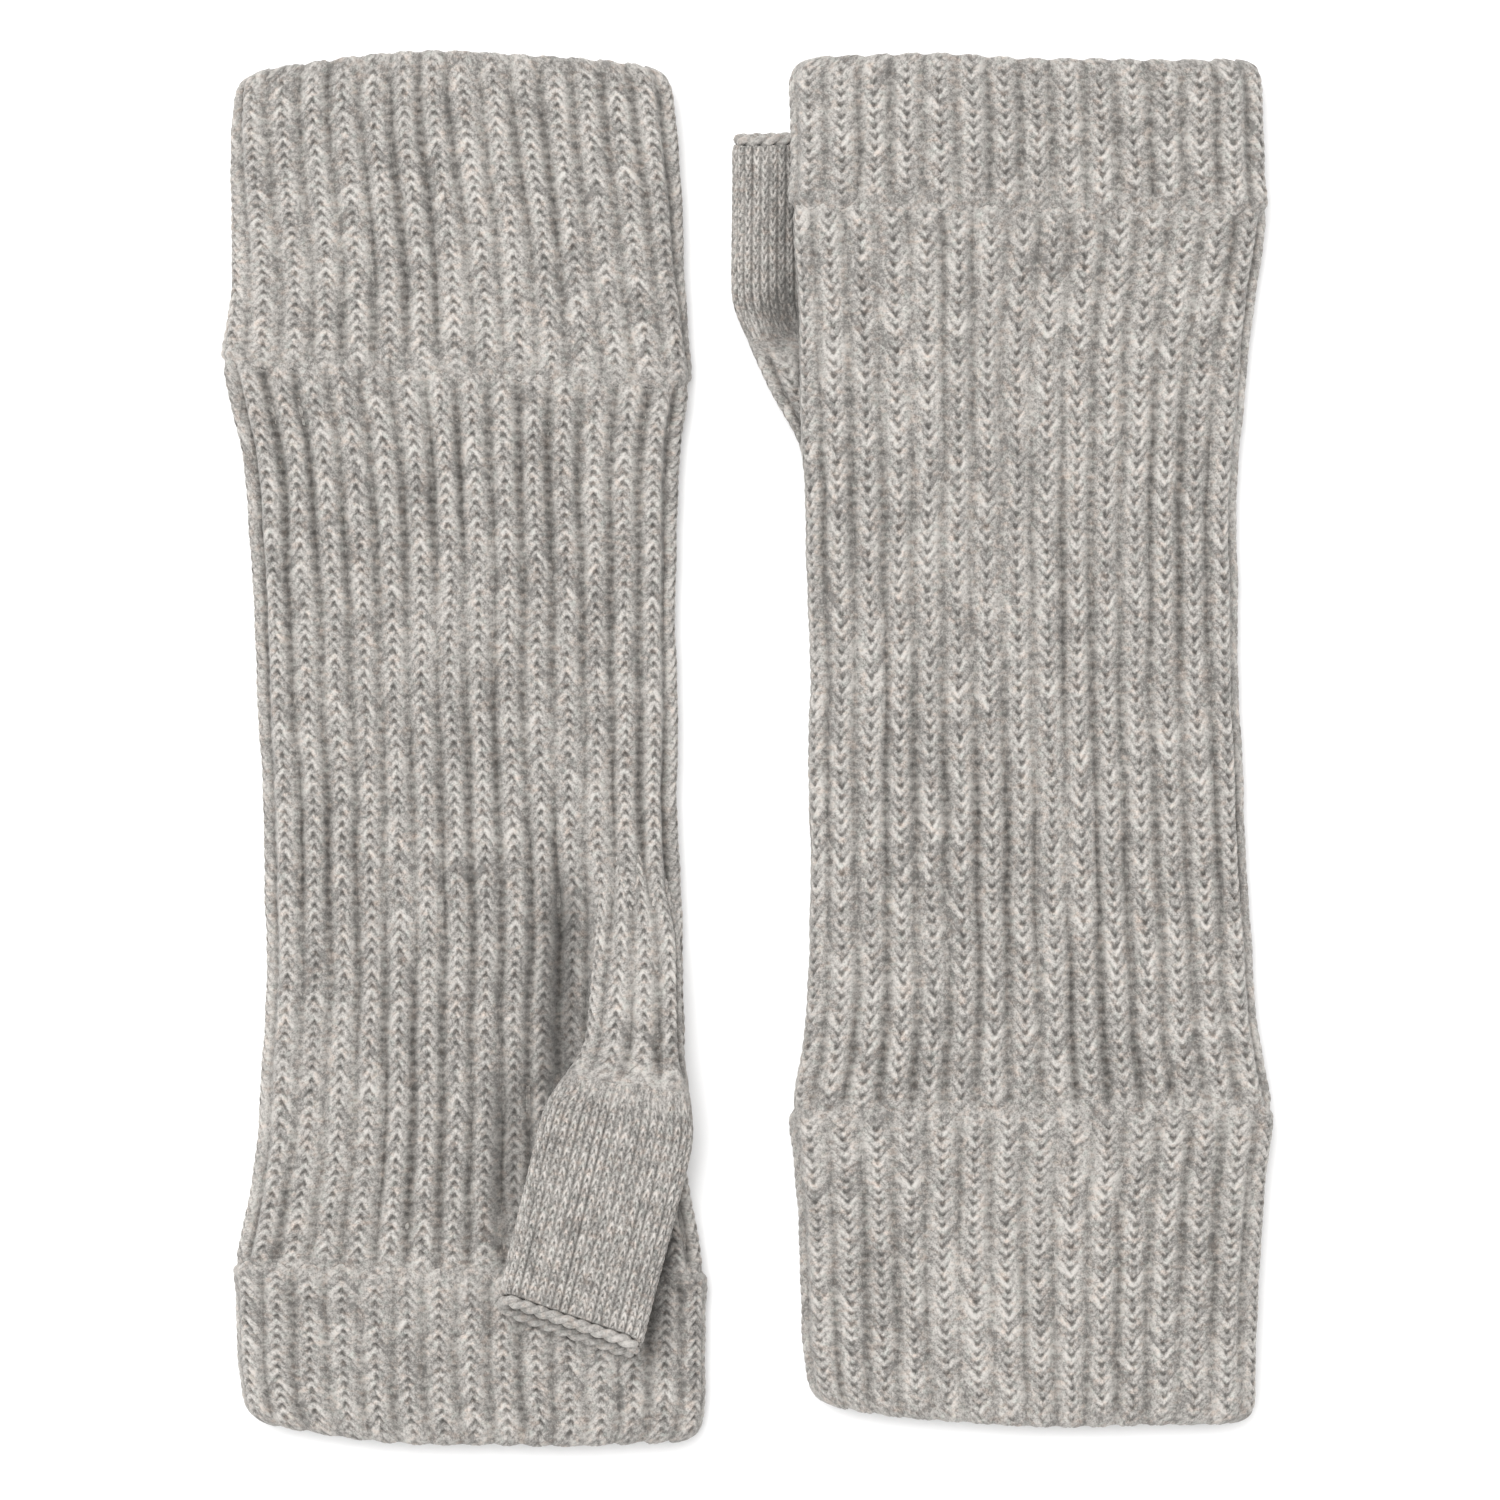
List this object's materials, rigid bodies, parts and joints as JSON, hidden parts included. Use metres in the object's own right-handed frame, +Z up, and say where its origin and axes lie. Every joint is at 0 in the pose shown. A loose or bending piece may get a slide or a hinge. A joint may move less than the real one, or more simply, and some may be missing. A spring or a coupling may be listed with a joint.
{
  "type": "pair of fingerless gloves",
  "caption": "Pair of long ribbed knit fingerless gloves lying flat, with doubled cuffs and hems and plain-knit thumbs, one palm up and one back up.",
  "frame": {"origin": "on the surface that the pair lies on, under the middle of the box round both gloves", "axes": "+Z up from the surface, +Y along both gloves, towards the left glove's arm end and the right glove's finger end, +X from the left glove to the right one"},
  "size_m": [0.1998, 0.2654, 0.0178],
  "materials": {
    "ribbed_knit": "soft heather grey one-by-one rib, slightly fuzzy, no gloss",
    "plain_knit": "soft heather grey fine stocking stitch, slightly fuzzy, no gloss",
    "linking_yarn": "the same heather grey yarn in chain stitches, no gloss"
  },
  "bodies": {
    "right_forearm": {"right_arm_cuff": "ribbed_knit", "right_arm_cuff_lining": "ribbed_knit", "right_arm_cuff_linking": "linking_yarn", "right_forearm_tube": "ribbed_knit"},
    "right_hand": {"right_hand_tube": "ribbed_knit", "right_finger_hem": "ribbed_knit", "right_finger_hem_lining": "ribbed_knit", "right_finger_hem_linking": "linking_yarn", "right_thumb_gusset": "ribbed_knit", "right_thumb_pick_up_round": "linking_yarn"},
    "right_thumb": {"right_thumb_tube": "plain_knit", "right_thumb_cast_off": "linking_yarn"},
    "left_forearm": {"left_arm_cuff": "ribbed_knit", "left_arm_cuff_lining": "ribbed_knit", "left_arm_cuff_linking": "linking_yarn", "left_forearm_tube": "ribbed_knit"},
    "left_hand": {"left_hand_tube": "ribbed_knit", "left_finger_hem": "ribbed_knit", "left_finger_hem_lining": "ribbed_knit", "left_finger_hem_linking": "linking_yarn", "left_thumb_gusset": "ribbed_knit", "left_thumb_pick_up_round": "linking_yarn"},
    "left_thumb": {"left_thumb_tube": "plain_knit", "left_thumb_cast_off": "linking_yarn"}
  },
  "joints": [
    {"name": "gloves_apart", "type": "slide", "parent": "right_forearm", "child": "left_forearm", "axis": [-1, 0, 0], "range_m": [0, 0.08]},
    {"name": "left_wrist_fold", "type": "hinge", "parent": "left_forearm", "child": "left_hand", "pos_m": [-0.05351, -0.00224, 0.0092], "axis": [-1, 0, 0], "range_deg": [0, 70]},
    {"name": "left_thumb_swing", "type": "hinge", "parent": "left_hand", "child": "left_thumb", "pos_m": [-0.02481, -0.07324, 0.01435], "axis": [0, 0, 1], "range_deg": [-8, 35]},
    {"name": "right_wrist_fold", "type": "hinge", "parent": "right_forearm", "child": "right_hand", "pos_m": [0.05349, 0.00616, 0.0092], "axis": [1, 0, 0], "range_deg": [0, 70]},
    {"name": "right_thumb_swing", "type": "hinge", "parent": "right_hand", "child": "right_thumb", "pos_m": [0.01149, 0.08816, 0.00345], "axis": [0, 0, 1], "range_deg": [-12, 10]}
  ]
}
